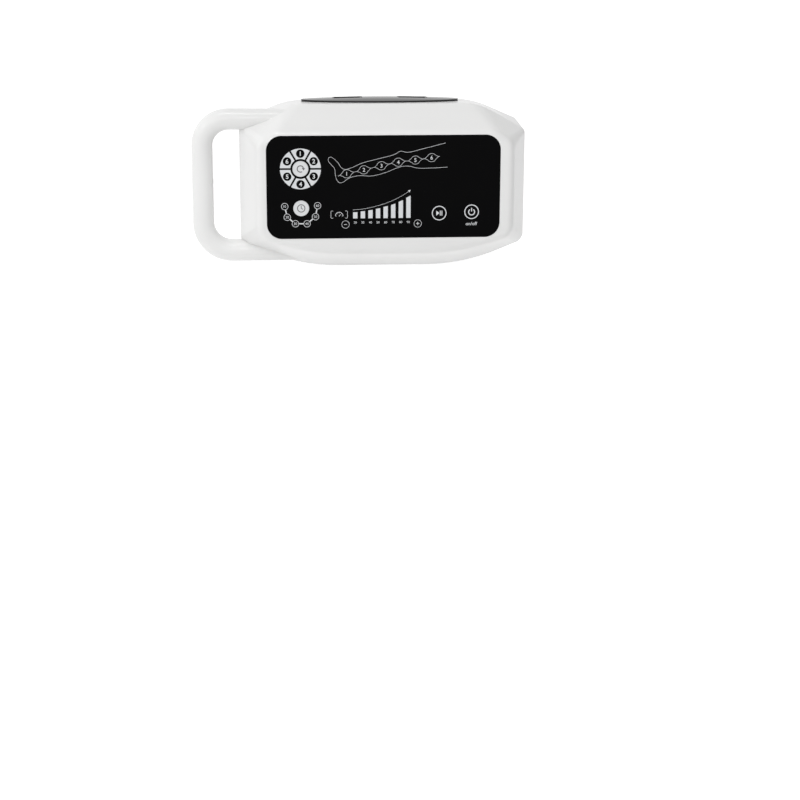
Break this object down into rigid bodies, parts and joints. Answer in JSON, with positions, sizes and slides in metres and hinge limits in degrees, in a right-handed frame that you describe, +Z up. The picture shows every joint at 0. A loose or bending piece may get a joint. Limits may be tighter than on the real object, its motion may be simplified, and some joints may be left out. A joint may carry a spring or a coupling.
{
  "type": "compression therapy pump",
  "caption": "Upright air compression pump with a black key panel, an integral side handle, an oval top plate with air sockets, and a working air pump and valves inside.",
  "frame": {"origin": "under the middle of the overall box, on the plane the feet stand on", "axes": "+Z up, +X along the longest side towards the end away from the handle, -Y out of the key panel"},
  "size_m": [0.366, 0.118, 0.184],
  "materials": {
    "housing_white": "satin",
    "panel_black": "polished",
    "key_white": "satin",
    "print_white": "satin",
    "print_grey": "satin",
    "plate_grey": "satin",
    "socket_black": "satin",
    "nylon_white": "satin",
    "foot_rubber": "matte",
    "pad_rubber": "matte",
    "silicone": "satin",
    "screw_steel": "satin",
    "contact_brass": "polished",
    "board_green": "satin",
    "switch_black": "satin",
    "lamp_clear": "polished",
    "cable_grey": "satin",
    "can_aluminium": "satin",
    "plug_cream": "satin",
    "core_iron": "matte",
    "winding_copper": "satin",
    "frame_steel": "satin",
    "magnet_nickel": "polished"
  },
  "bodies": {
    "housing": {"air_port_plate": "plate_grey", "arm_pins": "screw_steel", "board_capacitors": "can_aluminium", "board_connectors": "plug_cream", "board_screws": "screw_steel", "control_panel": "panel_black", "diaphragms": "pad_rubber", "front_housing": "housing_white", "grip_screw": "screw_steel", "housing_screws": "screw_steel", "indicator_lamps": "lamp_clear", "inlet_pins": "contact_brass", "key_board": "board_green", "left_air_socket": "socket_black", "main_board": "board_green", "port_tubes": "silicone", "power_inlet": "socket_black", "pressure_sensor": "switch_black", "pump_coil": "winding_copper", "pump_core": "core_iron", "pump_dampers": "pad_rubber", "pump_frame": "frame_steel", "pump_heads": "nylon_white", "rear_housing": "housing_white", "ribbon_cable": "cable_grey", "right_air_socket": "socket_black", "rubber_feet": "foot_rubber", "supply_tubes": "silicone", "tact_switches": "switch_black", "transformer_coil": "winding_copper", "transformer_core": "core_iron", "transformer_feet": "frame_steel", "valve_block": "nylon_white", "valve_coils": "frame_steel"},
    "mode_key_cap": {"mode_key": "key_white"},
    "time_key_cap": {"time_key": "key_white"},
    "minus_key_cap": {"minus_key": "panel_black"},
    "plus_key_cap": {"plus_key": "panel_black"},
    "start_key_cap": {"start_key": "panel_black"},
    "power_key_cap": {"power_key": "panel_black"},
    "left_arm": {"left_swing_arm": "nylon_white", "left_magnet": "magnet_nickel"},
    "right_arm": {"right_swing_arm": "nylon_white", "right_magnet": "magnet_nickel"},
    "plunger_1": {"valve_plunger_1": "screw_steel"},
    "plunger_2": {"valve_plunger_2": "screw_steel"},
    "plunger_3": {"valve_plunger_3": "screw_steel"},
    "plunger_4": {"valve_plunger_4": "screw_steel"},
    "plunger_5": {"valve_plunger_5": "screw_steel"},
    "plunger_6": {"valve_plunger_6": "screw_steel"}
  },
  "joints": [
    {"name": "mode_key_press", "type": "slide", "parent": "housing", "child": "mode_key_cap", "axis": [0, 1, 0], "range_m": [0, 0.0008], "stiffness_N_per_m": 500, "springref_m": -0.0006},
    {"name": "time_key_press", "type": "slide", "parent": "housing", "child": "time_key_cap", "axis": [0, 1, 0], "range_m": [0, 0.0008], "stiffness_N_per_m": 500, "springref_m": -0.0006},
    {"name": "minus_key_press", "type": "slide", "parent": "housing", "child": "minus_key_cap", "axis": [0, 1, 0], "range_m": [0, 0.0008], "stiffness_N_per_m": 500, "springref_m": -0.0006},
    {"name": "plus_key_press", "type": "slide", "parent": "housing", "child": "plus_key_cap", "axis": [0, 1, 0], "range_m": [0, 0.0008], "stiffness_N_per_m": 500, "springref_m": -0.0006},
    {"name": "start_key_press", "type": "slide", "parent": "housing", "child": "start_key_cap", "axis": [0, 1, 0], "range_m": [0, 0.0008], "stiffness_N_per_m": 500, "springref_m": -0.0006},
    {"name": "power_key_press", "type": "slide", "parent": "housing", "child": "power_key_cap", "axis": [0, 1, 0], "range_m": [0, 0.0008], "stiffness_N_per_m": 500, "springref_m": -0.0006},
    {"name": "left_arm_swing", "type": "hinge", "parent": "housing", "child": "left_arm", "pos_m": [0.0325, 0.024, 0.08], "axis": [0, 1, 0], "range_deg": [-2, 2], "stiffness_Nm_per_rad": 1.2},
    {"name": "right_arm_swing", "type": "hinge", "parent": "housing", "child": "right_arm", "pos_m": [0.0915, 0.024, 0.08], "axis": [0, 1, 0], "range_deg": [-2, 2], "stiffness_Nm_per_rad": 1.2},
    {"name": "plunger_1_lift", "type": "slide", "parent": "housing", "child": "plunger_1", "axis": [0, -1, 0], "range_m": [0, 0.0015], "stiffness_N_per_m": 250, "springref_m": -0.0015},
    {"name": "plunger_2_lift", "type": "slide", "parent": "housing", "child": "plunger_2", "axis": [0, -1, 0], "range_m": [0, 0.0015], "stiffness_N_per_m": 250, "springref_m": -0.0015},
    {"name": "plunger_3_lift", "type": "slide", "parent": "housing", "child": "plunger_3", "axis": [0, -1, 0], "range_m": [0, 0.0015], "stiffness_N_per_m": 250, "springref_m": -0.0015},
    {"name": "plunger_4_lift", "type": "slide", "parent": "housing", "child": "plunger_4", "axis": [0, -1, 0], "range_m": [0, 0.0015], "stiffness_N_per_m": 250, "springref_m": -0.0015},
    {"name": "plunger_5_lift", "type": "slide", "parent": "housing", "child": "plunger_5", "axis": [0, -1, 0], "range_m": [0, 0.0015], "stiffness_N_per_m": 250, "springref_m": -0.0015},
    {"name": "plunger_6_lift", "type": "slide", "parent": "housing", "child": "plunger_6", "axis": [0, -1, 0], "range_m": [0, 0.0015], "stiffness_N_per_m": 250, "springref_m": -0.0015}
  ],
  "couplings": [
    {"joint": "right_arm_swing", "follows": "left_arm_swing", "ratio": -1}
  ]
}
